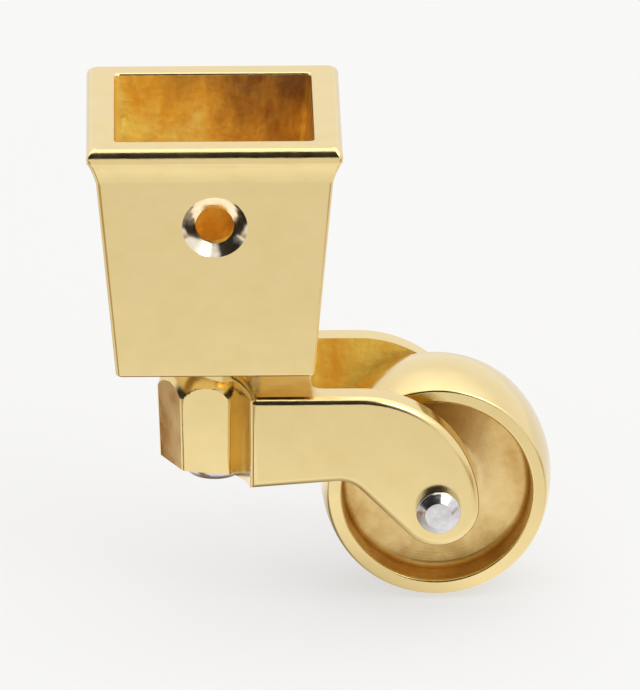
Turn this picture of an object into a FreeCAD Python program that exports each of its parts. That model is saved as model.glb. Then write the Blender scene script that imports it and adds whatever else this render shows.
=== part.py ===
import FreeCAD, Part
import math
import os

from FreeCAD import Placement, Rotation, Vector

# Square cup castor in polished cast brass, all sizes in millimetres
# The origin is the middle of the cup's floor, where the leg stands, on the swivel axis.
# +Z points up the leg, the screw hole faces -Y and the wheel trails towards +X.

# Cup, a tapered square socket with a moulded rim
leg_opening = 32.0          # square opening at the rim
floor_opening = 26.0        # square clear width at the floor
socket_depth = 36.2         # from the floor up to the rim
floor_thickness = 4.5
foot_width = 32.0           # outside, across the bottom
shoulder_width = 38.0       # outside, just under the cove
rim_width = 41.0            # outside, across the rim
rim_round_in = 1.1          # rounding on the rim's top edge, measured inwards
rim_round_down = 2.1        # the same rounding, measured down
rim_land = 0.2              # narrow upright band under the rounding
cove_height = 4.0           # hollow moulding under the band
cove_hollow = 0.15          # how far the cove is hollowed behind a straight slope
outer_corner_radius = 0.7
foot_edge_radius = 0.6
inner_corner_radius = 1.2
floor_fillet = 1.0
mouth_chamfer = 0.4

# Screw hole in the front wall, countersunk for a wood screw
screw_drop = 14.4           # hole centre below the rim
screw_clear_diameter = 6.2
screw_head_diameter = 10.5
screw_head_angle = 90.0

# Swivel pin, headed under the horn and peened over in the cup's floor
swivel_pin_diameter = 6.0
swivel_head_diameter = 9.6
swivel_head_height = 2.4
swivel_head_round = 1.1
peen_diameter = 9.0
peen_depth = 1.5

# Thrust washer between the cup and the horn
washer_diameter = 15.0
washer_thickness = 1.4

# Horn, the forked casting that carries the wheel
fork_drop = 3.9             # cup's bottom down to the top of the fork
fork_half_width = 16.0
arm_thickness = 4.75
arm_edge_radius = 1.3
block_start = 5.6           # swivel axis to the near face of the block
block_depth = 15.7          # top of the fork down to the underside, at the block's near face
block_keel = 1.3            # the block's underside drops this much further in the middle
keel_width = 12.0           # flat middle of that underside
arm_depth = 14.5            # top of the fork down to the underside, at the arms' heel
heel_radius = 5.0           # rounding where the underside turns down to the eye
collar_diameter = 12.0      # turned seat that the washer rides on
eye_radius = 6.7
eye_slope = 45.0            # fall of the arms' underside towards the eye
crotch_corner_radius = 2.0
tread_gap = 1.6             # crotch to the wheel's tread

# Hexagon boss round the swivel pin
boss_flat_width = 13.0      # across its flats
boss_offset = 1.5           # its centre lies this far off the pin, away from the wheel
boss_crown_drop = 1.7       # domed top down to the middle of a flat
boss_corner_drop = 5.2      # domed top down to a corner
boss_crown_inset = 1.3      # the dome's upper edge, inside the flats
boss_bottom_drop = 16.5     # top down to the underside, under the boss's centre
boss_bottom_tilt = 6.0      # the underside falls towards the wheel
boss_edge_radius = 0.9
boss_draft = 0.5            # each flat leans out this much from the bottom to the top
flare_start_inset = 1.5     # where the flare leaves the hexagon, measured from its edge
flare_hollow = 0.6          # how far the flare is hollowed behind a straight line

# Wheel, cast with a dished recess in each side
axle_reach = 36.1           # swivel axis to axle
axle_drop = 19.3            # top of the fork down to the axle
wheel_radius = 18.85        # at the crown of the tread
tread_crown = 1.0
wheel_width = 17.4          # across the rim faces
rim_face = 2.3              # width of the flat ring round each side
wheel_edge_radius = 0.5
dish_draft = 0.3
dish_rise = 1.0             # the dish is this much shallower at its wall than at the hub
dish_fillet = 1.2
web_thickness = 4.4         # between the two dishes, at the hub
hub_radius = 5.4
hub_fillet = 2.0
hub_side_gap = 0.3          # hub to each arm

# Axle pin, riveted over at both ends
axle_diameter = 5.0
rivet_diameter = 7.3
rivet_flat_diameter = 3.8
rivet_height = 3.0
rivet_bulge = 0.5           # how far the rivet's flank swells beyond a straight cone

# Named clearances
running_fit = 0.05          # on the radius, pins in the parts that turn on them
washer_gap = 0.1            # under and over the washer
head_gap = 0.1              # horn to the swivel pin's head

# Levels worked out from the sizes above
rim_top = socket_depth
cup_bottom = -floor_thickness
fork_top = cup_bottom - fork_drop
block_bottom = fork_top - block_depth
arm_bottom = fork_top - arm_depth
axle_z = fork_top - axle_drop
arm_inner = fork_half_width - arm_thickness
crotch_x = axle_reach - wheel_radius - tread_gap
washer_top = cup_bottom - washer_gap
washer_bottom = washer_top - washer_thickness
collar_top = washer_bottom - washer_gap
boss_bottom = fork_top - boss_bottom_drop
beyond = 4 * rim_width      # length of tools that cut right through

X_AXIS = Vector(1, 0, 0)
Y_AXIS = Vector(0, 1, 0)
Z_AXIS = Vector(0, 0, 1)


def arc(start, middle, end):
    return Part.Arc(start, middle, end).toShape()


def face_of(edges):
    return Part.Face(Part.Wire(Part.__sortEdges__(edges)))


def upright_cylinder(radius, low, high):
    return Part.makeCylinder(radius, high - low, Vector(0, 0, low), Z_AXIS)


def rounded_square(width, radius, level):
    """Wire of a square with rounded corners, centred on the swivel axis."""
    half = width / 2
    flat = half - radius
    slant = radius * (1 - math.sqrt(0.5))
    edges = []
    for quarter in range(4):
        side = Part.makeLine(Vector(half, -flat, level), Vector(half, flat, level))
        corner = arc(Vector(half, flat, level), Vector(half - slant, half - slant, level),
                     Vector(flat, half, level))
        for edge in (side, corner):
            edge.rotate(Vector(0, 0, 0), Z_AXIS, 90 * quarter)
            edges.append(edge)
    return Part.Wire(Part.__sortEdges__(edges))


def cup_profile():
    """Upright section through the outside of the cup, drawn in the XZ plane."""
    rim, foot, shoulder = rim_width / 2, foot_width / 2, shoulder_width / 2
    land_top = rim_top - rim_round_down
    land_bottom = land_top - rim_land
    cove_bottom = land_bottom - cove_height
    bulge = 1 - math.sqrt(0.5)

    def at(x, z, side):
        return Vector(side * x, 0, z)

    edges = [Part.makeLine(at(rim - rim_round_in, rim_top, 1), at(rim - rim_round_in, rim_top, -1)),
             Part.makeLine(at(foot, cup_bottom, 1), at(foot, cup_bottom, -1))]
    for side in (1, -1):
        top_middle = at(rim - rim_round_in * bulge, rim_top - rim_round_down * bulge, side)
        cove_middle = at((rim + shoulder) / 2 - cove_hollow, (land_bottom + cove_bottom) / 2, side)
        edges.append(arc(at(rim - rim_round_in, rim_top, side), top_middle, at(rim, land_top, side)))
        edges.append(Part.makeLine(at(rim, land_top, side), at(rim, land_bottom, side)))
        edges.append(arc(at(rim, land_bottom, side), cove_middle, at(shoulder, cove_bottom, side)))
        edges.append(Part.makeLine(at(shoulder, cove_bottom, side), at(foot, cup_bottom, side)))
    return face_of(edges)


def socket_cup():
    """Cast cup: one section run both ways and intersected, which mitres the rim's mouldings."""
    bar = cup_profile().extrude(Vector(0, 2 * rim_width, 0))
    bar.translate(Vector(0, -rim_width, 0))
    crossing = bar.copy()
    crossing.rotate(Vector(0, 0, 0), Z_AXIS, 90)
    outside = bar.common(crossing)
    corners = [edge for edge in outside.Edges if edge.BoundBox.ZLength > 0.01]
    outside = outside.makeFillet(outer_corner_radius, corners)
    foot = [edge for edge in outside.Edges if edge.BoundBox.ZMax < cup_bottom + 0.01]
    outside = outside.makeFillet(foot_edge_radius, foot)

    cavity = Part.makeLoft([rounded_square(floor_opening, inner_corner_radius, 0),
                            rounded_square(leg_opening, inner_corner_radius, rim_top)], True, True)
    foot_edges = [edge for edge in cavity.Edges if edge.BoundBox.ZMax < 0.01]
    cavity = cavity.makeFillet(floor_fillet, foot_edges)
    mouth = Part.makeLoft([rounded_square(leg_opening, inner_corner_radius, rim_top - mouth_chamfer),
                           rounded_square(leg_opening + 2 * mouth_chamfer,
                                          inner_corner_radius + mouth_chamfer, rim_top)], True, True)
    cup = outside.cut(cavity).cut(mouth)
    cup = cup.cut(screw_hole())
    cup = cup.cut(upright_cylinder(swivel_pin_diameter / 2, cup_bottom - 1, 1))
    return cup.cut(peened_end())


def wall_half_width(level, top_width, bottom_width, bottom, top):
    """Half width of a tapered wall at one level."""
    share = (level - bottom) / (top - bottom)
    return (bottom_width + (top_width - bottom_width) * share) / 2


def screw_hole():
    """Countersunk hole square to the front wall's upright."""
    level = rim_top - screw_drop
    shoulder_level = rim_top - rim_round_down - rim_land - cove_height
    face_y = -wall_half_width(level, shoulder_width, foot_width, cup_bottom, shoulder_level)
    head, clear = screw_head_diameter / 2, screw_clear_diameter / 2
    sink = (head - clear) / math.tan(math.radians(screw_head_angle / 2))
    lead = sink / 2
    flank = (head - clear) / sink
    cone = Part.makeCone(head + lead * flank, clear, sink + lead,
                         Vector(0, face_y - lead, level), Y_AXIS)
    drill = Part.makeCylinder(clear, rim_width / 2, Vector(0, face_y - 1, level), Y_AXIS)
    return cone.fuse(drill)


def peened_end():
    """Countersunk seat in the floor that the pin's end is peened into."""
    return Part.makeCone(swivel_pin_diameter / 2, peen_diameter / 2, peen_depth,
                         Vector(0, 0, -peen_depth), Z_AXIS)


def turned(points_and_arcs, axis):
    """Solid of revolution: a closed outline turned about an axis through the origin."""
    return face_of(points_and_arcs).revolve(Vector(0, 0, 0), axis, 360)


def swivel_pin():
    """Steel pin: rounded head below the horn, shank through it, end peened in the floor."""
    seat = head_seat_level()
    low = seat - head_gap - swivel_head_height
    shank = upright_cylinder(swivel_pin_diameter / 2, seat - head_gap - 1, 0)
    head = upright_cylinder(swivel_head_diameter / 2, low, seat - head_gap)
    rim = [edge for edge in head.Edges if edge.BoundBox.ZMax < low + 0.01]
    head = head.makeFillet(swivel_head_round, rim)
    return head.fuse(shank).fuse(peened_end()).removeSplitter()


def swivel_washer():
    ring = upright_cylinder(washer_diameter / 2, washer_bottom, washer_top)
    return ring.cut(upright_cylinder(swivel_pin_diameter / 2 + running_fit, washer_bottom, washer_top))


def head_seat_level():
    """Level of the flat spot, cut in the tilted underside, that the pin's head bears on."""
    fall = math.tan(math.radians(boss_bottom_tilt))
    return boss_bottom + fall * (swivel_head_diameter / 2 - boss_offset)


def eye_toe():
    """Where the slope under the arm touches the eye."""
    slope = math.radians(eye_slope)
    return Vector(axle_reach - eye_radius * math.sin(slope), 0, axle_z - eye_radius * math.cos(slope))


def arm_heel():
    """Where the arm's underside would meet that slope, before its corner is rounded."""
    toe = eye_toe()
    return Vector(toe.x - (arm_bottom - toe.z) / math.tan(math.radians(eye_slope)), 0, arm_bottom)


def underside_level(x):
    """Level of the block's and the arms' underside, which rises evenly to the heel."""
    share = (x - block_start) / (arm_heel().x - block_start)
    return block_bottom + (arm_bottom - block_bottom) * share


def fork_side_profile():
    """Side view of block, arm and eye, drawn in the XZ plane."""
    def at(x, z):
        return Vector(x, 0, z)

    shoulder = axle_drop
    shoulder_x = axle_reach + eye_radius - shoulder
    turn = math.sqrt(0.5)
    toe = eye_toe()
    half_sweep = math.radians(90 + eye_slope) / 2
    eye_middle = at(axle_reach + eye_radius * math.cos(half_sweep),
                    axle_z - eye_radius * math.sin(half_sweep))
    corners = [arm_heel(), at(0, underside_level(0)), at(0, fork_top), at(shoulder_x, fork_top)]
    edges = [Part.makeLine(a, b) for a, b in zip([toe] + corners[:-1], corners)]
    edges.append(arc(corners[-1], at(shoulder_x + shoulder * turn, axle_z + shoulder * turn),
                     at(axle_reach + eye_radius, axle_z)))
    edges.append(arc(at(axle_reach + eye_radius, axle_z), eye_middle, toe))
    return face_of(edges)


def fork_plan_profile():
    """Plan of the fork: a hollow flare from the hexagon out to the block's two corners."""
    side = boss_flat_width / math.sqrt(3)
    start_x = side / 2 - boss_offset + flare_start_inset * math.cos(math.radians(60))
    start_y = boss_flat_width / 2 - flare_start_inset * math.sin(math.radians(60))
    edges = []
    for way in (1, -1):
        start = Vector(start_x, way * start_y, 0)
        corner = Vector(block_start, way * fork_half_width, 0)
        middle = (start + corner) * 0.5 + Vector(flare_hollow, 0, 0)
        far = Vector(beyond, way * fork_half_width, 0)
        edges.append(arc(start, middle, corner))
        edges.append(Part.makeLine(corner, far))
    edges.append(Part.makeLine(Vector(start_x, start_y, 0), Vector(start_x, -start_y, 0)))
    edges.append(Part.makeLine(Vector(beyond, fork_half_width, 0),
                               Vector(beyond, -fork_half_width, 0)))
    return face_of(edges)


def block_keel_solid(plan):
    """Raised middle of the block's underside, cut to the same plan as the block."""
    wide, keel = fork_half_width - arm_edge_radius, keel_width / 2
    side = underside_level(0)
    low, inside = side - block_keel, side + arm_edge_radius
    section = [Vector(0, -wide, inside), Vector(0, -wide, side), Vector(0, -keel, low),
               Vector(0, keel, low), Vector(0, wide, side), Vector(0, wide, inside),
               Vector(0, -wide, inside)]
    along = Vector(crotch_x, 0, underside_level(crotch_x) - side)
    return Part.Face(Part.makePolygon(section)).extrude(along).common(plan)


def hexagon_boss():
    """Drafted hexagon with a domed top, rounded edges and an underside that falls to the wheel."""
    base = boss_bottom - boss_flat_width
    lean = 2 * boss_draft / boss_bottom_drop

    def hexagon(level):
        corner = (boss_flat_width + lean * (level - boss_bottom)) / math.sqrt(3)
        return Part.makePolygon([Vector(corner * math.cos(math.radians(60 * n)),
                                        corner * math.sin(math.radians(60 * n)), level)
                                 for n in range(7)])

    prism = Part.makeLoft([hexagon(base), hexagon(fork_top)], True, True)
    prism = prism.makeFillet(boss_edge_radius, [edge for edge in prism.Edges
                                                if edge.BoundBox.ZLength > boss_bottom_drop])
    flat = boss_flat_width / 2 + boss_draft
    corner = 2 * flat / math.sqrt(3)
    outer = Vector(corner, 0, fork_top - boss_corner_drop)
    middle = Vector(flat, 0, fork_top - boss_crown_drop)
    top = Vector(flat - boss_crown_inset, 0, fork_top)
    dome = turned([Part.makeLine(Vector(0, 0, base), Vector(corner, 0, base)),
                   Part.makeLine(Vector(corner, 0, base), outer),
                   arc(outer, middle, top),
                   Part.makeLine(top, Vector(0, 0, fork_top)),
                   Part.makeLine(Vector(0, 0, fork_top), Vector(0, 0, base))], Z_AXIS)
    below = Part.makeBox(beyond, beyond, beyond, Vector(-beyond / 2, -beyond / 2, -beyond))
    below.Placement = Placement(Vector(0, 0, boss_bottom), Rotation(Y_AXIS, boss_bottom_tilt))
    boss = prism.common(dome).cut(below)
    boss.translate(Vector(-boss_offset, 0, 0))
    return boss


def horn():
    """Cast horn: hexagon boss, block and two arms with an eye each, in one piece."""
    height = fork_top - (axle_z - 2 * eye_radius)
    side = fork_side_profile().extrude(Vector(0, 2 * fork_half_width, 0))
    side.translate(Vector(0, -fork_half_width, 0))
    heel = arm_heel()
    side = side.makeFillet(heel_radius, [edge for edge in side.Edges
                                         if edge.BoundBox.YLength > fork_half_width
                                         and abs(edge.BoundBox.XMax - heel.x) < 0.01
                                         and abs(edge.BoundBox.ZMax - heel.z) < 0.01])
    plan = fork_plan_profile().extrude(Vector(0, 0, height))
    plan.translate(Vector(0, 0, fork_top - height))
    fork = side.common(plan)
    outer = [edge for edge in fork.Edges
             if abs(abs(edge.BoundBox.YMin) - fork_half_width) < 0.01
             and abs(edge.BoundBox.YMax - edge.BoundBox.YMin) < 0.01]
    flare_tops = [edge for edge in fork.Edges
                  if edge.BoundBox.ZMin > fork_top - 0.01 and edge.BoundBox.XMax < block_start + 0.01
                  and edge.BoundBox.XLength > 0.01]
    fork = fork.makeFillet(arm_edge_radius, outer + flare_tops)

    slot = Part.makeBox(beyond, 2 * arm_inner, 2 * height, Vector(crotch_x, -arm_inner, fork_top - height))
    inner_corners = [edge for edge in slot.Edges
                     if edge.BoundBox.XMax < crotch_x + 0.01 and edge.BoundBox.ZLength > height]
    slot = slot.makeFillet(crotch_corner_radius, inner_corners)
    fork = fork.cut(slot)

    casting = fork.fuse(block_keel_solid(plan)).fuse(hexagon_boss())
    casting = casting.fuse(upright_cylinder(collar_diameter / 2, fork_top - 1, collar_top))
    casting = casting.cut(upright_cylinder(swivel_pin_diameter / 2 + running_fit,
                                           boss_bottom - boss_flat_width, collar_top))
    seat = upright_cylinder(swivel_head_diameter / 2 + head_gap, boss_bottom - boss_flat_width,
                            head_seat_level())
    casting = casting.cut(seat)
    return casting.cut(axle_shank()).removeSplitter()


def axle_shank():
    return Part.makeCylinder(axle_diameter / 2, 2 * fork_half_width,
                             Vector(axle_reach, -fork_half_width, axle_z), Y_AXIS)


def axle_pin():
    """Steel axle: plain shank with a turned rivet head swelling over each eye."""
    base, flat = rivet_diameter / 2, rivet_flat_diameter / 2
    low = fork_half_width
    high = fork_half_width + rivet_height
    middle = Vector((base + flat) / 2 + rivet_bulge, (low + high) / 2, 0)
    pin = axle_shank()
    for way in (1, -1):
        head = turned([Part.makeLine(Vector(0, low, 0), Vector(base, low, 0)),
                       arc(Vector(base, low, 0), middle, Vector(flat, high, 0)),
                       Part.makeLine(Vector(flat, high, 0), Vector(0, high, 0)),
                       Part.makeLine(Vector(0, high, 0), Vector(0, low, 0))], Y_AXIS)
        if way < 0:
            head.rotate(Vector(0, 0, 0), X_AXIS, 180)
        head.translate(Vector(axle_reach, 0, axle_z))
        pin = pin.fuse(head)
    return pin.removeSplitter()


def wheel():
    """Cast wheel: crowned tread, flat ring and a dish each side, web and long hub."""
    half = wheel_width / 2
    web = web_thickness / 2
    hub_half = arm_inner - hub_side_gap
    bore = axle_diameter / 2 + running_fit
    ring = wheel_radius - tread_crown
    lip = ring - rim_face
    wall = lip - dish_draft

    def at(radius, y):
        return Vector(radius, y, 0)

    edges = [arc(at(ring, half), at(wheel_radius, 0), at(ring, -half)),
             Part.makeLine(at(bore, hub_half), at(bore, -hub_half))]
    for way in (1, -1):
        outer = [at(ring, way * half), at(lip, way * half), at(wall, way * (web + dish_rise))]
        inner = [at(hub_radius, way * web), at(hub_radius, way * hub_half), at(bore, way * hub_half)]
        dish_middle = at((wall + hub_radius) / 2, way * (web + dish_rise / 4))
        edges += [Part.makeLine(a, b) for stops in (outer, inner) for a, b in zip(stops, stops[1:])]
        edges.append(arc(outer[-1], dish_middle, inner[0]))
    body = turned(edges, Y_AXIS)

    def circles(radius, y):
        return [edge for edge in body.Edges
                if abs(edge.BoundBox.XMax - radius) < 0.01 and abs(abs(edge.BoundBox.YMin) - y) < 0.01]

    body = body.makeFillet(dish_fillet, circles(wall, web + dish_rise))
    body = body.makeFillet(hub_fillet, circles(hub_radius, web))
    body = body.makeFillet(wheel_edge_radius, circles(ring, half) + circles(lip, half))
    body.translate(Vector(axle_reach, 0, axle_z))
    return body


def main():
    os.makedirs("parts", exist_ok=True)
    nodes = {"socket_cup": socket_cup(), "swivel_pin": swivel_pin(), "swivel_washer": swivel_washer(),
             "horn": horn(), "axle_pin": axle_pin(), "wheel": wheel()}
    for name, shape in nodes.items():
        shape.exportStep("parts/" + name + ".step")
        box = shape.BoundBox
        print(name, "solids", len(shape.Solids), "valid", shape.isValid(),
              "volume %.0f" % shape.Volume,
              "x %.1f..%.1f y %.1f..%.1f z %.1f..%.1f" % (box.XMin, box.XMax, box.YMin, box.YMax,
                                                          box.ZMin, box.ZMax))


main()
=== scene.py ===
# %% [markdown]
# # A square cup castor in polished brass
# This is a furniture castor: a square brass cup that takes the end of a table leg, a horn that
# swings under it, and a dished brass wheel. The construction model gives the sizes, the bodies
# and the joints. Here each casting is modelled again with clean, flowing faces, because polished
# metal is a mirror and shows every uneven triangle, and then it gets its finish.
# The first step loads the construction model. Its pieces stand where the finished ones will.

# %% Load the frame
import math

import bpy
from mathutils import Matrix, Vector


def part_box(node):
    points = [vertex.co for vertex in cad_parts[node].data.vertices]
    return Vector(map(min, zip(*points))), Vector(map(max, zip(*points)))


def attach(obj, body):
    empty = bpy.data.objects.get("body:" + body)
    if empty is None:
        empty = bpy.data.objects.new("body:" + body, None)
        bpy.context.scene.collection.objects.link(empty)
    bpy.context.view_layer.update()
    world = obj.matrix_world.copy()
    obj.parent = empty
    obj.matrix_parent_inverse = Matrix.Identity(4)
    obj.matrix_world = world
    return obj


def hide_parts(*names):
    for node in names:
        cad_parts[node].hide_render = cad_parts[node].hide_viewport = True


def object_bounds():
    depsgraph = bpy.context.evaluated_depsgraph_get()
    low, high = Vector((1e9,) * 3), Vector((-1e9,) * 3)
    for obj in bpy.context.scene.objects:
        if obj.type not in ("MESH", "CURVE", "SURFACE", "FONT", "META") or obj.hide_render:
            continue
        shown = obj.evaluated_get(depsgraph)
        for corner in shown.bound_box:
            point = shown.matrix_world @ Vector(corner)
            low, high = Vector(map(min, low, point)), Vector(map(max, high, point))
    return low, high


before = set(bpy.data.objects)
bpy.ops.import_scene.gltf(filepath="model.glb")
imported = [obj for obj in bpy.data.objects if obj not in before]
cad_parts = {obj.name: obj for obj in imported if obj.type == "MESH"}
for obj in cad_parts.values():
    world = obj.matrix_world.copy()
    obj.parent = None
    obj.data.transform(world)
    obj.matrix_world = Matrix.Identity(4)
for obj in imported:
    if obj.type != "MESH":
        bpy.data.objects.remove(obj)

cad_low, cad_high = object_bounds()
print("construction box, mm:", [round(v * 1000, 2) for v in (*cad_low, *cad_high)])

# %% [markdown]
# Blender measures in metres and this castor in millimetres, so one name turns one into the other.
# An operator works on all that is selected, and the loaded pieces arrive selected. A short helper
# clears the selection, another opens one piece in edit mode, and a third picks edges by their place.

# %% Units and selection
MM = 0.001


def deselect():
    if bpy.context.mode != "OBJECT":
        bpy.ops.object.mode_set(mode="OBJECT")
    bpy.ops.object.select_all(action="DESELECT")


def take(piece):
    deselect()
    piece.select_set(True)
    bpy.context.view_layer.objects.active = piece


def open_piece(piece, parts="FACE"):
    take(piece)
    bpy.ops.object.mode_set(mode="EDIT")
    bpy.ops.mesh.select_mode(type=parts)


def choose_edges(piece, test):
    """Selects the edges whose two ends pass the test, in millimetres, and counts them."""
    bpy.ops.object.mode_set(mode="EDIT")
    bpy.ops.mesh.select_all(action="DESELECT")
    bpy.ops.object.mode_set(mode="OBJECT")
    count = 0
    for edge in piece.data.edges:
        a, b = (piece.data.vertices[v].co / MM for v in edge.vertices)
        edge.select = bool(test(a, b))
        count += edge.select
    bpy.ops.object.mode_set(mode="EDIT")
    bpy.ops.mesh.select_mode(type="EDGE")
    return count


deselect()
print("pieces loaded:", sorted(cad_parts))

# %% [markdown]
# Every piece of this castor was either cast or turned, so its outline has straight runs joined by
# small roundings. The next helper takes the corners of such an outline with a radius for each,
# and gives the points along it. Drawing the rounding into the outline, before the piece is spun
# or extruded, keeps the faces in even bands, which a bevel afterwards wouldn't always do.

# %% Outline helpers
def arc_points(start, middle, end, steps):
    """Points on the circle through three points, from the first to the last."""
    (ax, ay), (bx, by), (cx, cy) = start, middle, end
    d = 2 * (ax * (by - cy) + bx * (cy - ay) + cx * (ay - by))
    ux = ((ax**2 + ay**2) * (by - cy) + (bx**2 + by**2) * (cy - ay) + (cx**2 + cy**2) * (ay - by)) / d
    uy = ((ax**2 + ay**2) * (cx - bx) + (bx**2 + by**2) * (ax - cx) + (cx**2 + cy**2) * (bx - ax)) / d
    radius = math.hypot(ax - ux, ay - uy)
    first = math.atan2(ay - uy, ax - ux)
    mid = (math.atan2(by - uy, bx - ux) - first) % (2 * math.pi)
    last = (math.atan2(cy - uy, cx - ux) - first) % (2 * math.pi)
    if mid > last:
        last -= 2 * math.pi
    return [(ux + radius * math.cos(first + last * k / steps),
             uy + radius * math.sin(first + last * k / steps)) for k in range(steps + 1)]


def rounded(corners, steps=6):
    """Points of an open outline of (x, y, radius) corners, each inner corner rounded by its radius."""
    points = []
    for k, (x, y, radius) in enumerate(corners):
        if not radius or k in (0, len(corners) - 1):
            points.append((x, y))
            continue
        here = Vector((x, y))
        back = (Vector(corners[k - 1][:2]) - here).normalized()
        on = (Vector(corners[k + 1][:2]) - here).normalized()
        half = back.angle(on) / 2
        reach = radius / math.tan(half)
        centre = here + (back + on).normalized() * (radius / math.sin(half))
        crown = centre + (here - centre).normalized() * radius
        a, b = here + back * reach, here + on * reach
        points += arc_points(tuple(a), tuple(crown), tuple(b), steps)
    return points


print("a 2 mm corner takes", len(rounded([(0, 0, 0), (10, 0, 2), (10, 10, 0)])) - 2, "points")

# %% [markdown]
# ## The cup
# The cup is one casting: a square socket that widens towards the rim, with a hollow moulding, an
# upright band and a rounded top edge round the rim. By hand it starts as one flat square at the
# foot. The square is extruded upwards level by level and scaled to each level's width, then
# scaled inwards over the rim and led down again to make the inside. Four sides from one square
# meet in true mitred corners, as the pattern maker's do.

# %% Cup levels
CUP_BOTTOM, RIM_TOP, FLOOR_TOP = -4.5, 36.2, 0.0
FOOT, SHOULDER, RIM = 16.0, 19.0, 20.5             # half widths outside
SHOULDER_Z, LAND_LOW, LAND_TOP = 29.9, 33.9, 34.1
ROUND_IN, ROUND_DOWN = 1.1, RIM_TOP - LAND_TOP      # rounding on the rim's top edge
COVE_HOLLOW = 0.15
SOCKET_FOOT, SOCKET_MOUTH = 13.0, 16.0              # half widths inside
FOOT_EDGE, FLOOR_EDGE, MOUTH_EDGE = 0.6, 1.0, 0.4   # radii

slope = (SHOULDER - FOOT) / (SHOULDER_Z - CUP_BOTTOM)
outside = rounded([(FOOT - 3, CUP_BOTTOM, 0), (FOOT, CUP_BOTTOM, FOOT_EDGE),
                   (SHOULDER, SHOULDER_Z, 0)], 4)
cove_middle = ((RIM + SHOULDER) / 2 - COVE_HOLLOW, (SHOULDER_Z + LAND_LOW) / 2)
outside += arc_points((SHOULDER, SHOULDER_Z), cove_middle, (RIM, LAND_LOW), 8)[1:]
outside += [(RIM, LAND_TOP)]
bulge = 1 - math.sqrt(0.5)
top_edge = arc_points((RIM, LAND_TOP), (RIM - ROUND_IN * bulge, RIM_TOP - ROUND_DOWN * bulge),
                      (RIM - ROUND_IN, RIM_TOP), 12)[1:]
outside += [(width, min(level, RIM_TOP)) for width, level in top_edge]
inside = rounded([(RIM - ROUND_IN, RIM_TOP, 0), (SOCKET_MOUTH, RIM_TOP, MOUTH_EDGE),
                  (SOCKET_FOOT, FLOOR_TOP, FLOOR_EDGE), (SOCKET_FOOT - 3, FLOOR_TOP, 0)], 5)[1:]
levels = outside + inside
print("cup levels:", len(levels), "- wall leans out", round(math.degrees(math.atan(slope)), 2), "degrees")

# %% [markdown]
# Extruding moves the new square straight up, and scaling it about its own middle sets the width.
# The pivot of a scale is the middle of what is selected, which is the swivel axis here.

# %% Cup walls
def raise_square(name, levels):
    """A square tube drawn level by level, each level being (half width, height)."""
    deselect()
    half, z = levels[0]
    bpy.ops.mesh.primitive_plane_add(size=2 * half * MM, location=(0, 0, z * MM))
    piece = bpy.context.object
    piece.name = name
    bpy.ops.object.transform_apply(location=True, rotation=False, scale=False)
    open_piece(piece)
    bpy.ops.mesh.select_all(action="SELECT")
    for width, level in levels[1:]:
        bpy.ops.mesh.extrude_region_move(
            TRANSFORM_OT_translate={"value": (0, 0, (level - z) * MM)})
        share = width / half
        bpy.ops.transform.resize(value=(share, share, 1), center_override=(0, 0, level * MM))
        half, z = width, level
    bpy.ops.mesh.select_all(action="SELECT")
    bpy.ops.mesh.remove_doubles(threshold=0.00001)
    bpy.ops.mesh.normals_make_consistent(inside=False)
    bpy.ops.object.mode_set(mode="OBJECT")
    return piece


cup = raise_square("cup_casting", levels)
print("cup faces:", len(cup.data.polygons))

# %% [markdown]
# The corners of the square tube are still knife sharp. On the casting the outer ones are eased by
# well under a millimetre and the inner ones, where the wood's corner sits, by a little more. The
# edges are picked in code by their place: both ends lie on a diagonal of the square. A bevel can
# lift a point of the rounded rim by a few hundredths, so the top is levelled afterwards.

# %% Cup corners
OUTER_CORNER, INNER_CORNER = 0.7, 0.9


def corner_edge(a, b, inner):
    diagonal = abs(abs(a.x) - abs(a.y)) < 0.01 and abs(abs(b.x) - abs(b.y)) < 0.01
    same_quarter = a.x * b.x > 0 and a.y * b.y > 0
    along = (a - b).length > 0.01
    is_inner = max(abs(a.x), abs(b.x)) <= SOCKET_MOUTH + MOUTH_EDGE + 0.01 and min(a.z, b.z) > -0.01
    return diagonal and same_quarter and along and is_inner == inner


for inner, radius in ((False, OUTER_CORNER), (True, INNER_CORNER)):
    found = choose_edges(cup, lambda a, b: corner_edge(a, b, inner))
    bpy.ops.mesh.bevel(offset=radius * MM, offset_type="OFFSET", segments=5, profile=0.5,
                       affect="EDGES")
    print("inner" if inner else "outer", "corner edges:", found)
bpy.ops.object.mode_set(mode="OBJECT")
for corner in cup.data.vertices:
    corner.co.z = min(corner.co.z, RIM_TOP * MM)

# %% [markdown]
# The front wall has one countersunk hole for the screw that holds the cup to the leg, and the floor
# has the hole of the swivel pin. A cutter is modelled in the shape of what is missing, and the
# Boolean modifier takes it away, which leaves the crisp edge that a drill leaves.

# %% Screw hole and pin hole
def cut_away(piece, cutter):
    take(piece)
    tool = piece.modifiers.new("cut", "BOOLEAN")
    tool.operation = "DIFFERENCE"
    tool.solver = "EXACT"
    tool.object = cutter
    bpy.ops.object.modifier_apply(modifier=tool.name)
    bpy.data.objects.remove(cutter, do_unlink=True)


def round_bar(radius, start, end, axis, far_radius=None, sides=96):
    """A cylinder, or a cone where far_radius is given, between two places on an axis."""
    deselect()
    turn = {"Y": (-math.pi / 2, 0, 0), "Z": (0, 0, 0)}[axis]
    middle = [(a + b) / 2 * MM for a, b in zip(start, end)]
    depth = (Vector(end) - Vector(start)).length * MM
    bpy.ops.mesh.primitive_cone_add(
        vertices=sides, radius1=radius * MM,
        radius2=(radius if far_radius is None else far_radius) * MM,
        depth=depth, location=middle, rotation=turn)
    bar = bpy.context.object
    bpy.ops.object.transform_apply(location=True, rotation=True, scale=True)
    return bar


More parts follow.
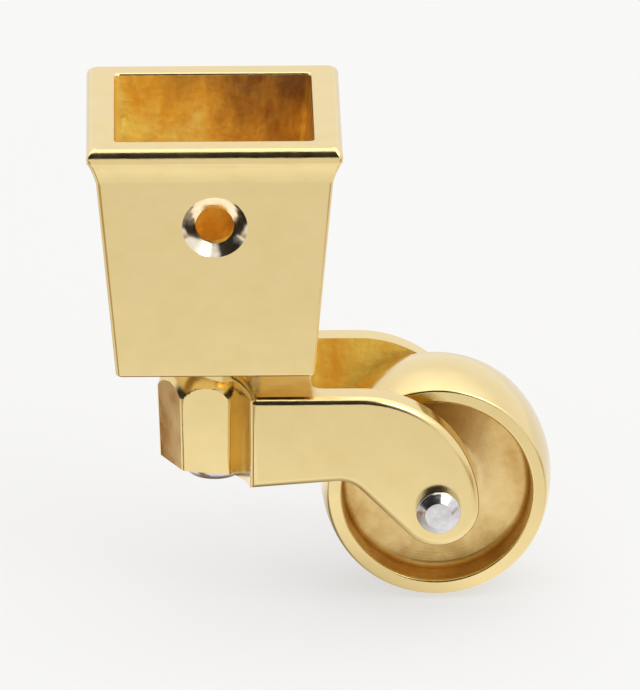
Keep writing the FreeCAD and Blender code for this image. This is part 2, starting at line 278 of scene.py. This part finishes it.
SCREW_Z, SCREW_HEAD, SCREW_CLEAR = 21.8, 5.25, 3.1  # height and radii
PIN, PEEN, PEEN_DEPTH = 3.0, 4.5, 1.5               # swivel pin, the end hammered over, its depth
LEAD = 1.0                                          # how far a cutter starts outside the metal
front_y = -(FOOT + slope * (SCREW_Z - CUP_BOTTOM))
outside_y, sunk_y, through_y = front_y - LEAD, front_y + SCREW_HEAD - SCREW_CLEAR, front_y + 8
cut_away(cup, round_bar(SCREW_HEAD + LEAD, (0, outside_y, SCREW_Z), (0, sunk_y, SCREW_Z), "Y",
                        SCREW_CLEAR))
cut_away(cup, round_bar(SCREW_CLEAR, (0, outside_y, SCREW_Z), (0, through_y, SCREW_Z), "Y"))
cut_away(cup, round_bar(PIN, (0, 0, CUP_BOTTOM - LEAD), (0, 0, 0.1 - PEEN_DEPTH), "Z"))
cut_away(cup, round_bar(PIN, (0, 0, -PEEN_DEPTH), (0, 0, FLOOR_TOP), "Z", PEEN))
print("cup faces after drilling:", len(cup.data.polygons))

# %% [markdown]
# ## Turned pieces
# The swivel pin, the washer, the axle and the wheel are round. A lathe makes them, and Blender's
# spin is a lathe: half an outline is drawn by extruding a single corner from point to point, and
# spin carries it once round the axis. The outline is drawn where the piece will sit.

# %% Lathe
PIN_STEPS, AXLE_STEPS, WHEEL_STEPS = 64, 72, 144    # faces round each turned piece


def lathe(name, outline, axis, centre, steps):
    """Spins an outline of (radius, place along the axis) points about the Y or Z axis."""
    across, along = {"Y": (Vector((1, 0, 0)), Vector((0, 1, 0))),
                     "Z": (Vector((1, 0, 0)), Vector((0, 0, 1)))}[axis]
    centre = Vector(centre) * MM

    def place(point):
        return centre + (across * point[0] + along * point[1]) * MM

    deselect()
    bpy.ops.mesh.primitive_plane_add(size=MM, location=place(outline[0]))
    piece = bpy.context.object
    piece.name = name
    bpy.ops.object.transform_apply(location=True, rotation=False, scale=False)
    open_piece(piece, "VERT")
    bpy.ops.mesh.select_all(action="SELECT")
    bpy.ops.mesh.merge(type="CENTER")
    for here, there in zip(outline, outline[1:]):
        bpy.ops.mesh.extrude_region_move(
            TRANSFORM_OT_translate={"value": place(there) - place(here)})
    bpy.ops.mesh.select_all(action="SELECT")
    bpy.ops.mesh.spin(steps=steps, angle=2 * math.pi, center=centre, axis=along)
    bpy.ops.mesh.select_all(action="SELECT")
    bpy.ops.mesh.remove_doubles(threshold=0.000004)
    bpy.ops.mesh.normals_make_consistent(inside=False)
    bpy.ops.object.mode_set(mode="OBJECT")
    return piece


print("faces round a turn:", PIN_STEPS, AXLE_STEPS, WHEEL_STEPS)

# %% [markdown]
# The swivel pin is bright steel. Its round head sits under the horn, and its other end is hammered
# over in a countersink in the cup's floor, so the cup and the horn can't come apart.

# %% Swivel pin and washer
PIN_HEAD, PIN_HEAD_THICK = 4.8, 2.4
WASHER_BORE, WASHER_RADIUS, WASHER_LOW, WASHER_HIGH, WASHER_EDGE = 3.05, 7.5, -6.0, -4.6, 0.15
head_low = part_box("swivel_pin")[0].z / MM
head_top = head_low + PIN_HEAD_THICK
pin_outline = rounded([(0, head_low, 0), (PIN_HEAD, head_low, 1.1), (PIN_HEAD, head_top, 0.1),
                       (PIN, head_top, 0), (PIN, -PEEN_DEPTH, 0), (4.42, -0.05, 0.2), (0, 0.0, 0)], 6)
swivel_pin = lathe("swivel_pin_turned", pin_outline, "Z", (0, 0, 0), PIN_STEPS)
washer_outline = rounded([(WASHER_BORE, WASHER_LOW, 0), (WASHER_RADIUS, WASHER_LOW, WASHER_EDGE),
                          (WASHER_RADIUS, WASHER_HIGH, WASHER_EDGE), (WASHER_BORE, WASHER_HIGH, 0),
                          (WASHER_BORE, WASHER_LOW, 0)], 3)
swivel_washer = lathe("swivel_washer_ring", washer_outline, "Z", (0, 0, 0), PIN_STEPS)
print("pin and washer faces:", len(swivel_pin.data.polygons), len(swivel_washer.data.polygons))

# %% [markdown]
# The axle is a plain steel bar, riveted over outside each eye of the horn. Each rivet head slopes in
# to a small flat where the hammer last fell, and the slope is what shows as a dark ring.

# %% Axle
AXLE_X, AXLE_Z = 36.1, -27.7
AXLE, RIVET, RIVET_FLAT = 2.5, 3.65, 2.15           # radii
EYE_FACE, RIVET_SLOPE, RIVET_END = 16.0, 17.75, 19.0
half_axle = [(AXLE, EYE_FACE)] + rounded([(RIVET, EYE_FACE, 0), (RIVET, RIVET_SLOPE, 0.8),
                                          (RIVET_FLAT, RIVET_END, 0.3), (0, RIVET_END, 0)], 6)
axle_outline = [(r, -y) for r, y in reversed(half_axle)] + half_axle
axle = lathe("axle_riveted", axle_outline, "Y", (AXLE_X, 0, AXLE_Z), AXLE_STEPS)
print("axle faces:", len(axle.data.polygons))

# %% [markdown]
# ## The wheel
# The wheel is a second casting: a crowned tread, a flat ring round each side, a deep dish, a web and
# a long hub that keeps it in the middle of the fork. All of that is one outline on the lathe.

# %% Wheel
TREAD, RING, LIP, HUB, BORE = 18.85, 17.85, 15.55, 5.4, 2.55   # radii
HALF_WIDTH, HUB_HALF, WEB, DISH_RISE = 8.7, 10.95, 2.2, 1.0    # from the wheel's middle plane
WALL = LIP - 0.3                                               # the dish narrows inwards
RING_EDGE, DISH_FILLET, HUB_FILLET, HUB_EDGE = 0.5, 1.2, 2.0, 0.2
tread = arc_points((RING, -HALF_WIDTH), (TREAD, 0), (RING, HALF_WIDTH), 24)
dish = arc_points((WALL, WEB + DISH_RISE), ((WALL + HUB) / 2, WEB + DISH_RISE / 4), (HUB, WEB), 12)
side = rounded([(tread[-3][0], tread[-3][1], 0), (RING, HALF_WIDTH, RING_EDGE),
                (LIP, HALF_WIDTH, RING_EDGE), (WALL, WEB + DISH_RISE, DISH_FILLET)]
               + [(r, y, 0) for r, y in dish[2:-3]]
               + [(HUB, WEB, HUB_FILLET), (HUB, HUB_HALF, HUB_EDGE), (BORE, HUB_HALF, HUB_EDGE),
                  (BORE, 0, 0)], 8)
half_wheel = tread[12:-3] + side
wheel_outline = [(r, -y) for r, y in reversed(half_wheel)] + half_wheel[1:]
wheel = lathe("wheel_casting", wheel_outline, "Y", (AXLE_X, 0, AXLE_Z), WHEEL_STEPS)
print("wheel faces:", len(wheel.data.polygons))

# %% [markdown]
# ## The horn
# The horn joins a hexagon boss, a block, two arms and two eyes in one casting, with roundings that
# run into each other. The construction model holds just that shape, as loose triangles. A copy is
# merged into one surface, and its flat areas are dissolved into single faces, so that the light
# runs evenly over it.

# %% Horn
deselect()
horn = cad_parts["horn"].copy()
horn.data = horn.data.copy()
horn.name = "horn_casting"
horn.parent = None
bpy.context.collection.objects.link(horn)
open_piece(horn, "VERT")
bpy.ops.mesh.select_all(action="SELECT")
bpy.ops.mesh.remove_doubles(threshold=0.000005)
bpy.ops.mesh.customdata_custom_splitnormals_clear()
bpy.ops.mesh.dissolve_limited(angle_limit=math.radians(0.3))
bpy.ops.object.mode_set(mode="OBJECT")
print("horn faces:", len(horn.data.polygons))

# %% [markdown]
# ## Finishes
# All the finishes are built from nodes and read Object coordinates, so the pattern sits in the
# metal and turns with it. Polished brass is a mirror with a warm colour. What makes it look
# real are small faults: hand polishing leaves the surface a little wavy, with fine scratches, and
# the roughness differs from place to place. Each helper below makes its nodes, links them and hands
# on their output, so a material reads as a list of steps.

# %% Node helpers
def new_material(name):
    material = bpy.data.materials.new(name)
    material.use_nodes = True
    nodes = material.node_tree.nodes
    return material, nodes, material.node_tree.links, nodes["Principled BSDF"]


def noise(nodes, links, source, scale, detail=3.0, roughness=0.5):
    made = nodes.new("ShaderNodeTexNoise")
    made.inputs["Scale"].default_value = scale
    made.inputs["Detail"].default_value = detail
    made.inputs["Roughness"].default_value = roughness
    links.new(source, made.inputs["Vector"])
    return made.outputs["Fac"]


def ramp(nodes, links, source, stops):
    made = nodes.new("ShaderNodeValToRGB")
    band = made.color_ramp
    while len(band.elements) < len(stops):
        band.elements.new(0.5)
    for element, (place, colour) in zip(band.elements, stops):
        element.position = place
        element.color = (*colour, 1)
    links.new(source, made.inputs["Fac"])
    return made.outputs["Color"]


def spread(nodes, links, source, low, high, start=0.3, end=0.7):
    made = nodes.new("ShaderNodeMapRange")
    made.inputs["From Min"].default_value = start
    made.inputs["From Max"].default_value = end
    made.inputs["To Min"].default_value = low
    made.inputs["To Max"].default_value = high
    links.new(source, made.inputs["Value"])
    return made.outputs["Result"]


def bump(nodes, links, height, distance, strength, under=None):
    made = nodes.new("ShaderNodeBump")
    made.inputs["Distance"].default_value = distance
    made.inputs["Strength"].default_value = strength
    links.new(height, made.inputs["Height"])
    if under is not None:
        links.new(under, made.inputs["Normal"])
    return made.outputs["Normal"]


def object_place(nodes, links, stretch=(1, 1, 1), turn=(0, 0, 0)):
    place = nodes.new("ShaderNodeTexCoord").outputs["Object"]
    mapping = nodes.new("ShaderNodeMapping")
    mapping.inputs["Scale"].default_value = stretch
    mapping.inputs["Rotation"].default_value = turn
    links.new(place, mapping.inputs["Vector"])
    return mapping.outputs["Vector"]


print("helpers ready: noise, ramp, spread, bump and object_place")

# %% [markdown]
# The polished brass takes its colour from two close tones of the same alloy. Two bumps shape it:
# one broad and very shallow for the waviness of hand work, and one stretched into fine lines for
# the scratches of the polishing cloth.

# %% Polished brass
def polished_brass():
    material, nodes, links, shader = new_material("polished_brass")
    place = object_place(nodes, links)
    tone = noise(nodes, links, place, 190, 4, 0.6)
    links.new(ramp(nodes, links, tone, [(0.30, (0.815, 0.640, 0.305)), (0.5, (0.830, 0.657, 0.322)),
                                        (0.72, (0.840, 0.672, 0.335))]), shader.inputs["Base Color"])
    patches = noise(nodes, links, place, 420, 4, 0.55)
    links.new(spread(nodes, links, patches, 0.11, 0.20), shader.inputs["Roughness"])
    waves = noise(nodes, links, place, 90, 1.5)
    scratch_place = object_place(nodes, links, (1, 1, 14), (0.0, 0.5, 0.2))
    scratches = noise(nodes, links, scratch_place, 900, 3, 0.6)
    normal = bump(nodes, links, waves, 0.0010, 0.25)
    links.new(bump(nodes, links, scratches, 0.00004, 0.22, normal), shader.inputs["Normal"])
    shader.inputs["Metallic"].default_value = 1.0
    return material


BRASS = polished_brass()
print("made", BRASS.name)

# %% [markdown]
# A finish may also depend on the place in the piece. One coordinate is picked out of the place and
# turned into a value that rises or falls between two limits. Several such values are then added, each
# with its share, which keeps a stain to one side or to the depth of the cup.

# %% Helpers for places
def rising(nodes, links, source, start, end):
    """0 up to the start and 1 from the end on."""
    return spread(nodes, links, source, 0.0, 1.0, start, end)


def falling(nodes, links, source, start, end):
    """1 up to the start and 0 from the end on."""
    return spread(nodes, links, source, 1.0, 0.0, start, end)


def separate(nodes, links, source):
    made = nodes.new("ShaderNodeSeparateXYZ")
    links.new(source, made.inputs[0])
    return made.outputs


def mixed(nodes, links, shares):
    """Adds several values, each with its share."""
    total = None
    for value, share in shares:
        made = nodes.new("ShaderNodeMath")
        made.operation = "MULTIPLY_ADD"
        links.new(value, made.inputs[0])
        made.inputs[1].default_value = share
        if total is None:
            made.inputs[2].default_value = 0.0
        else:
            links.new(total, made.inputs[2])
        total = made.outputs[0]
    return total


print("helpers ready: rising, falling, separate and mixed")

# %% [markdown]
# Inside, the cup and the fork are left as they came from the sand mould: rough and more orange,
# because light that has bounced between brass walls takes on more of their colour. The faces there
# get a material of their own. Its colour holds painted light and shade: lighter towards the left side
# of the cup, darker near the mouth as a painted shadow of the rim, and lighter in the fork. So place
# and noise are mixed before the ramp gives the colour. Voronoi cells make the pits.

# %% Rough-cast brass
def rough_cast_brass():
    material, nodes, links, shader = new_material("rough_cast_brass")
    place = object_place(nodes, links)
    spot = separate(nodes, links, place)
    # Painted light and shade: lighter to the left, a painted shadow of the rim near the mouth, lighter in
    # the fork.
    painted_light_left = falling(nodes, links, spot["X"], -0.016, 0.006)
    below_rim_shadow = falling(nodes, links, spot["Z"], 0.027, 0.0355)
    fork_painted_lighter = falling(nodes, links, spot["Z"], -0.004, 0.0)
    patches = noise(nodes, links, object_place(nodes, links, (1.6, 1.6, 0.7)), 130, 5, 0.6)
    tone = mixed(nodes, links, [(painted_light_left, 0.40), (below_rim_shadow, 0.24), (fork_painted_lighter, 0.25), (patches, 0.85)])
    links.new(ramp(nodes, links, tone, [(0.36, (0.24, 0.10, 0.02)), (0.55, (0.55, 0.26, 0.03)),
                                        (0.78, (0.92, 0.52, 0.06)), (1.0, (1.0, 0.80, 0.19))]),
              shader.inputs["Base Color"])
    grain = noise(nodes, links, place, 1100, 5, 0.65)
    swells = noise(nodes, links, place, 240, 2)
    pits = nodes.new("ShaderNodeTexVoronoi")
    pits.inputs["Scale"].default_value = 420
    links.new(place, pits.inputs["Vector"])
    pit_depth = rising(nodes, links, pits.outputs["Distance"], 0.05, 0.35)
    normal = bump(nodes, links, swells, 0.0012, 0.6)
    normal = bump(nodes, links, grain, 0.00022, 0.6, normal)
    links.new(bump(nodes, links, pit_depth, 0.0002, 0.35, normal), shader.inputs["Normal"])
    links.new(spread(nodes, links, grain, 0.30, 0.46), shader.inputs["Roughness"])
    shader.inputs["Metallic"].default_value = 0.5
    return material


ROUGH_BRASS = rough_cast_brass()
print("made", ROUGH_BRASS.name)

# %% [markdown]
# The wheel's dishes were cleaned on the lathe but never polished. The tool leaves fine rings round
# the axle, so the noise is read along one line only: the distance from the axle. The colour also
# darkens towards the outer wall of each dish, as painted shade in the recess.

# %% Turned brass
AXLE_PLACE = Vector((AXLE_X, 0, AXLE_Z)) * MM


def vector_math(nodes, links, operation, source, other=None):
    made = nodes.new("ShaderNodeVectorMath")
    made.operation = operation
    links.new(source, made.inputs[0])
    if other is not None:
        made.inputs[1].default_value = other
    return made.outputs["Value" if operation in ("LENGTH", "DOT_PRODUCT") else "Vector"]


def turned_brass():
    material, nodes, links, shader = new_material("turned_brass")
    place = object_place(nodes, links)
    from_axle = vector_math(nodes, links, "SUBTRACT", place, AXLE_PLACE)
    flat = vector_math(nodes, links, "MULTIPLY", from_axle, (1, 0, 1))
    reach = vector_math(nodes, links, "LENGTH", flat)
    line = nodes.new("ShaderNodeCombineXYZ")
    links.new(reach, line.inputs["X"])
    rings = noise(nodes, links, line.outputs[0], 4200, 3, 0.6)
    stains = noise(nodes, links, place, 210, 5, 0.62)
    # Painted shade: the colour darkens towards the outer wall of the dish.
    shade_towards_dish_wall = rising(nodes, links, reach, 0.008, 0.0155)
    tone = mixed(nodes, links, [(stains, 0.75), (shade_towards_dish_wall, 0.30)])
    links.new(ramp(nodes, links, tone, [(0.25, (0.84, 0.66, 0.34)), (0.50, (0.79, 0.57, 0.25)),
                                        (0.80, (0.62, 0.38, 0.11))]), shader.inputs["Base Color"])
    links.new(spread(nodes, links, stains, 0.26, 0.40), shader.inputs["Roughness"])
    normal = bump(nodes, links, stains, 0.0008, 0.15)
    links.new(bump(nodes, links, rings, 0.00006, 0.45, normal), shader.inputs["Normal"])
    shader.inputs["Metallic"].default_value = 1.0
    return material


TURNED_BRASS = turned_brass()
print("made", TURNED_BRASS.name)

# %% [markdown]
# The countersink is the last cut made in the cup. It is smoother than the polished faces, so it
# mirrors the studio in sharp patches. Its colour is paler and whiter than the polish, as painted
# glare that stands for silvery highlights there.

# %% Countersink brass, whitened as painted glare
def glare_whitened_brass():
    material, nodes, links, shader = new_material("glare_whitened_brass")
    place = object_place(nodes, links)
    tone = noise(nodes, links, place, 900, 3)
    # Paler, whiter colour: painted glare of the countersink.
    links.new(ramp(nodes, links, tone, [(0.3, (0.80, 0.71, 0.55)), (0.7, (0.87, 0.80, 0.67))]),
              shader.inputs["Base Color"])
    links.new(spread(nodes, links, tone, 0.08, 0.14), shader.inputs["Roughness"])
    links.new(bump(nodes, links, noise(nodes, links, place, 420, 1), 0.0003, 0.15),
              shader.inputs["Normal"])
    shader.inputs["Metallic"].default_value = 1.0
    return material


GLARE_WHITENED_BRASS = glare_whitened_brass()
print("made", GLARE_WHITENED_BRASS.name)

# %% [markdown]
# The pins and the washer are bright steel. Hammering leaves shallow dents on the ends, and a fine
# grain keeps the flat ends from shining like glass.

# %% Bright steel
def bright_steel():
    material, nodes, links, shader = new_material("bright_steel")
    place = object_place(nodes, links)
    tone = noise(nodes, links, place, 700, 4, 0.6)
    links.new(ramp(nodes, links, tone, [(0.32, (0.60, 0.58, 0.60)), (0.5, (0.68, 0.66, 0.68)),
                                        (0.7, (0.76, 0.74, 0.77))]), shader.inputs["Base Color"])
    links.new(spread(nodes, links, tone, 0.12, 0.24), shader.inputs["Roughness"])
    dents = noise(nodes, links, place, 380, 1.5)
    fine = noise(nodes, links, place, 3000, 3)
    normal = bump(nodes, links, dents, 0.0005, 0.35)
    links.new(bump(nodes, links, fine, 0.00005, 0.35, normal), shader.inputs["Normal"])
    shader.inputs["Metallic"].default_value = 1.0
    return material


STEEL = bright_steel()
print("made", STEEL.name)

# %% [markdown]
# ## Dressing the pieces
# Each piece is shaded smooth, with edges of over 32 degrees kept sharp, gets its material, rides on
# its body of the construction model and takes the place of its plain node there. Weighted normals
# let the large flat faces decide the shading at their borders, so the flats stay flat.

# %% Dressing helpers
SHARP_ANGLE = math.radians(32)


def dress(piece, body, nodes, materials):
    take(piece)
    bpy.ops.object.shade_smooth_by_angle(angle=SHARP_ANGLE)
    weigh = piece.modifiers.new("weigh", "WEIGHTED_NORMAL")
    weigh.keep_sharp = True
    bpy.ops.object.modifier_apply(modifier=weigh.name)
    piece.data.materials.clear()
    for material in materials:
        piece.data.materials.append(material)
    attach(piece, body)
    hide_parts(*nodes)
    size = [round(v / MM, 2) for v in piece.dimensions]
    print(piece.name, "size mm", size, "faces", len(piece.data.polygons))


def other_finish(piece, test):
    """Gives each face the material whose number the test makes of the face's middle, in mm."""
    count = 0
    for face in piece.data.polygons:
        face.material_index = int(test(face.center / MM, face.normal))
        count += face.material_index > 0
    print(piece.name, "faces in another finish:", count)


print("edges stay sharp from", round(math.degrees(SHARP_ANGLE)), "degrees")

# %% [markdown]
# Some faces of a piece have a finish of their own. A test looks at where the middle of a face is and
# answers with the number of its material: 0 for the polish, 1 for the rough or turned faces and 2 for
# the countersink.

# %% Finish each piece
CROTCH_X, ARM_INNER = 15.65, 11.25                  # where the fork's gap begins, and its half width


def in_cup(middle, normal):
    from_screw = math.hypot(middle.x, middle.z - SCREW_Z)
    if middle.y < -15 and SCREW_CLEAR - 0.1 < from_screw < SCREW_HEAD and normal.y > -0.95:
        return 2
    across = max(abs(middle.x), abs(middle.y))
    wall = SOCKET_FOOT + (SOCKET_MOUTH - SOCKET_FOOT) * middle.z / RIM_TOP
    return FLOOR_TOP - 0.01 < middle.z < RIM_TOP - 0.45 and across < wall + 0.02


def in_fork(middle, normal):
    return middle.x > CROTCH_X - 0.05 and abs(middle.y) < ARM_INNER + 0.01


def in_dish(middle, normal):
    reach = math.hypot(middle.x - AXLE_X, middle.z - AXLE_Z)
    return HUB + 0.1 < reach < LIP - 0.02 and abs(middle.y) < HALF_WIDTH - 0.5


dress(cup, "socket", ["socket_cup"], [BRASS, ROUGH_BRASS, GLARE_WHITENED_BRASS])
other_finish(cup, in_cup)
dress(swivel_pin, "socket", ["swivel_pin"], [STEEL])
dress(swivel_washer, "socket", ["swivel_washer"], [STEEL])
dress(horn, "fork", ["horn"], [BRASS, ROUGH_BRASS])
other_finish(horn, in_fork)
dress(axle, "fork", ["axle_pin"], [STEEL])
dress(wheel, "roller", ["wheel"], [BRASS, TURNED_BRASS])
other_finish(wheel, in_dish)

# %% [markdown]
# ## Studio
# The castor stands on plain pale paper under an even white tent. Polished metal shows its
# surroundings more than its own colour, so what the metal sees is part of the finish. The paper
# therefore has two looks, one for the camera and one for reflections. The camera sees plain paper
# with a soft shadow. A glow that only the camera sees keeps that shadow pale.

# %% Paper
PAPER_SIZE, PAPER_GLOW = 60.0, 0.595
FLOOR = cad_low.z - 0.0001
deselect()
bpy.ops.mesh.primitive_plane_add(size=PAPER_SIZE, location=(0, 0, FLOOR))
floor = bpy.context.object
floor.name = "paper_floor"
bpy.ops.object.transform_apply(location=True, rotation=False, scale=False)
paper, nodes, links, shader = new_material("paper")
paper_place = object_place(nodes, links)
paper_tone = noise(nodes, links, paper_place, 3, 2)
links.new(ramp(nodes, links, paper_tone, [(0.3, (0.235, 0.233, 0.231)), (0.7, (0.245, 0.243, 0.241))]),
          shader.inputs["Base Color"])
shader.inputs["Roughness"].default_value = 0.9
shader.inputs["Specular IOR Level"].default_value = 0.1
shader.inputs["Emission Color"].default_value = (1.0, 1.0, 1.0, 1)
rays = nodes.new("ShaderNodeLightPath")
links.new(spread(nodes, links, rays.outputs["Is Camera Ray"], 0.0, PAPER_GLOW, 0.0, 1.0),
          shader.inputs["Emission Strength"])
print("paper at", round(FLOOR / MM, 2), "mm")

# %% [markdown]
# In reflections the paper has areas of other tones. Each area is a mask, 1 inside and 0 outside.
# Masks are multiplied where an area has several limits, and a mask then blends one colour over
# another.

# %% Helpers for masks
def product(nodes, links, *masks):
    """Multiplies masks, so that the result is 1 only where all of them are."""
    result = masks[0]
    for mask in masks[1:]:
        made = nodes.new("ShaderNodeMath")
        made.operation = "MULTIPLY"
        links.new(result, made.inputs[0])
        links.new(mask, made.inputs[1])
        result = made.outputs[0]
    return result


def blend_colour(nodes, links, share, first, second):
    """The first colour where the share is 0 and the second where it is 1."""
    made = nodes.new("ShaderNodeMix")
    made.data_type = "RGBA"
    links.new(share, made.inputs["Factor"])
    for socket, value in ((made.inputs["A"], first), (made.inputs["B"], second)):
        if isinstance(value, tuple):
            socket.default_value = (*value, 1)
        else:
            links.new(value, socket)
    return made.outputs["Result"]


print("helpers ready: product and blend_colour")

# %% [markdown]
# A reflection sees paper that is darkened right under the castor, as a painted contact shadow,
# brightest round it and a little dimmer further out. At each side in front a brown area is painted
# into what reflections alone see, a painted dark reflection that draws the upright edges of shiny
# things. All these places are in metres on the paper.

# %% Paper in reflections
# The two cards are painted dark reflections, which the paper shows to reflections alone.
DARK_REFLECTION_LEFT, DARK_REFLECTION_RIGHT = -0.042, 0.095               # inner edges of the two cards
DARK_REFLECTION_DEPTH, DARK_REFLECTION_SOFT = 0.25, 0.012
DARK_REFLECTION_TONE = (0.48, 0.38, 0.24)
reach = vector_math(nodes, links, "LENGTH", paper_place)
# Painted contact shadow: dark right under the castor in reflections.
contact_shadow_ramp = ramp(nodes, links, rising(nodes, links, reach, 0.0, 0.2),
                [(0.235, (0.20, 0.16, 0.12)), (0.27, (0.60, 0.56, 0.50)), (0.33, (1.0, 1.0, 1.0)),
                 (0.46, (0.86, 0.85, 0.82)), (0.60, (0.80, 0.79, 0.77))])
spot = separate(nodes, links, paper_place)
to_front = falling(nodes, links, spot["Y"], -0.06, -0.03)
not_far = rising(nodes, links, spot["Y"], -DARK_REFLECTION_DEPTH, -DARK_REFLECTION_DEPTH + 0.05)
left = falling(nodes, links, spot["X"], DARK_REFLECTION_LEFT - DARK_REFLECTION_SOFT, DARK_REFLECTION_LEFT)
right = rising(nodes, links, spot["X"], DARK_REFLECTION_RIGHT, DARK_REFLECTION_RIGHT + DARK_REFLECTION_SOFT)
# Painted dark reflections at both sides in front.
dark_reflections = product(nodes, links, mixed(nodes, links, [(left, 1.0), (right, 1.0)]), to_front, not_far)
seen = blend_colour(nodes, links, dark_reflections, contact_shadow_ramp, DARK_REFLECTION_TONE)
print("cards from", DARK_REFLECTION_LEFT, "and", DARK_REFLECTION_RIGHT, "m")

# %% [markdown]
# Two small areas of the paper belong to the hexagon of the horn, both painted into what reflections
# see. One lies in front on its left and darkens the corner between hexagon and block, as painted
# shade. The other lies behind on its left, is dark with one white stripe, a painted highlight, and is
# meant for the hexagon's left flat. Each is laid out along the line on which a view of the flat is
# sent on, so its edges look upright there.

# %% Areas for the hexagon
CORNER_SHADE_TONE = (0.30, 0.20, 0.10)
REFLECTION_GLOW = 1.12


def band(way, start, full, fade, end):
    """1 between two lines on the paper that cross the given direction, 0 outside them."""
    place = vector_math(nodes, links, "DOT_PRODUCT", paper_place, way)
    return product(nodes, links, rising(nodes, links, place, start, full),
                   falling(nodes, links, place, fade, end))


# Painted shade for the corner between hexagon and block.
corner = product(nodes, links, band((-0.866, -0.5, 0), 0.010, 0.020, 0.080, 0.095),
                 band((0.5, -0.866, 0), -0.006, 0.0, 0.018, 0.024))
seen = blend_colour(nodes, links, corner, seen, CORNER_SHADE_TONE)
# Painted highlight: the white stripe for the hexagon's left flat.
striped = product(nodes, links, band((-0.866, 0.5, 0), 0.035, 0.045, 0.13, 0.15),
                  band((0.5, 0.866, 0), -0.018, -0.016, 0.003, 0.006))
across = vector_math(nodes, links, "DOT_PRODUCT", paper_place, (0.5, 0.866, 0))
highlight_stripes = ramp(nodes, links, rising(nodes, links, across, -0.018, 0.006),
               [(0.10, (0.0, 0.0, 0.0)), (0.22, (0.0, 0.0, 0.0)), (0.25, (1.0, 1.0, 1.0)),
                (0.40, (1.0, 1.0, 1.0)), (0.43, (0.50, 0.22, 0.04)), (0.52, (0.30, 0.12, 0.02)),
                (0.70, (0.10, 0.04, 0.01)), (0.85, (0.50, 0.30, 0.08))])
mirrored = nodes.new("ShaderNodeEmission")
links.new(blend_colour(nodes, links, striped, seen, highlight_stripes), mirrored.inputs["Color"])
mirrored.inputs["Strength"].default_value = REFLECTION_GLOW
look = nodes.new("ShaderNodeMixShader")
links.new(rays.outputs["Is Glossy Ray"], look.inputs["Fac"])
links.new(shader.outputs["BSDF"], look.inputs[1])
links.new(mirrored.outputs["Emission"], look.inputs[2])
links.new(look.outputs["Shader"], nodes["Material Output"].inputs["Surface"])
floor.data.materials.append(paper)
print("paper nodes:", len(nodes))

# %% [markdown]
# The tent is brighter overhead and open towards the photographer. In a reflection that opening is
# dark, from just over the horizon up to steeply overhead, and every rounded edge that looks that way
# draws it as a dark line. All other rays, of the camera and of the soft light on the paper, find
# plain white. The opening lies a little to the left, so the right side stays bright.

# %% World
world = bpy.data.worlds.new("studio")
bpy.context.scene.world = world
world.use_nodes = True
wn, wl = world.node_tree.nodes, world.node_tree.links
direction = wn.new("ShaderNodeTexCoord").outputs["Generated"]
height = separate(wn, wl, direction)["Z"]
level_way = vector_math(wn, wl, "MULTIPLY", direction, (1, 1, 0))
unit_way = vector_math(wn, wl, "NORMALIZE", level_way)
front_way = vector_math(wn, wl, "DOT_PRODUCT", unit_way, (-0.5, -0.866, 0))
opening = product(wn, wl, rising(wn, wl, front_way, 0.45, 0.70), rising(wn, wl, height, 0.03, 0.12),
                  falling(wn, wl, height, 0.90, 0.96),
                  wn.new("ShaderNodeLightPath").outputs["Is Glossy Ray"])
wl.new(blend_colour(wn, wl, opening, (1.0, 0.995, 0.985), (0.02, 0.016, 0.012)),
       wn["Background"].inputs["Color"])
wl.new(spread(wn, wl, height, 1.0, 1.55, 0.42, 0.78), wn["Background"].inputs["Strength"])
print("world nodes:", len(wn))

# %% [markdown]
# One large soft lamp on the right, in front and above, gives the highlights and the shadow.

# %% Lamp
bpy.ops.object.light_add(type="AREA", location=(0.75, -0.7, 1.1))
lamp = bpy.context.object
lamp.name = "soft_lamp"
lamp.data.shape = "DISK"
lamp.data.size = 0.7
lamp.data.energy = 3.5
lamp.rotation_euler = (Vector((0.02, 0, -0.02)) - lamp.location).to_track_quat("-Z", "Y").to_euler()
print("lamp", round(lamp.location.length, 2), "m away")

# %% [markdown]
# ## Camera
# The camera stands well back with a long lens, looks down on the castor by about 21 degrees and
# sees it a very little from the left, as the photographer did.

# %% Camera
camera_data = bpy.data.cameras.new("camera")
camera = bpy.data.objects.new("camera", camera_data)
bpy.context.collection.objects.link(camera)
camera.location = (-0.0121, -1.637, 0.633)
aim = Vector((0.0172, 0, -0.0052))
camera.rotation_euler = (aim - camera.location).to_track_quat("-Z", "Y").to_euler()
camera_data.sensor_width = 36
camera_data.lens = 563
camera_data.clip_end = 100
bpy.context.scene.camera = camera
bpy.context.scene.view_settings.view_transform = "Standard"
print("camera", round((aim - camera.location).length, 3), "m away")
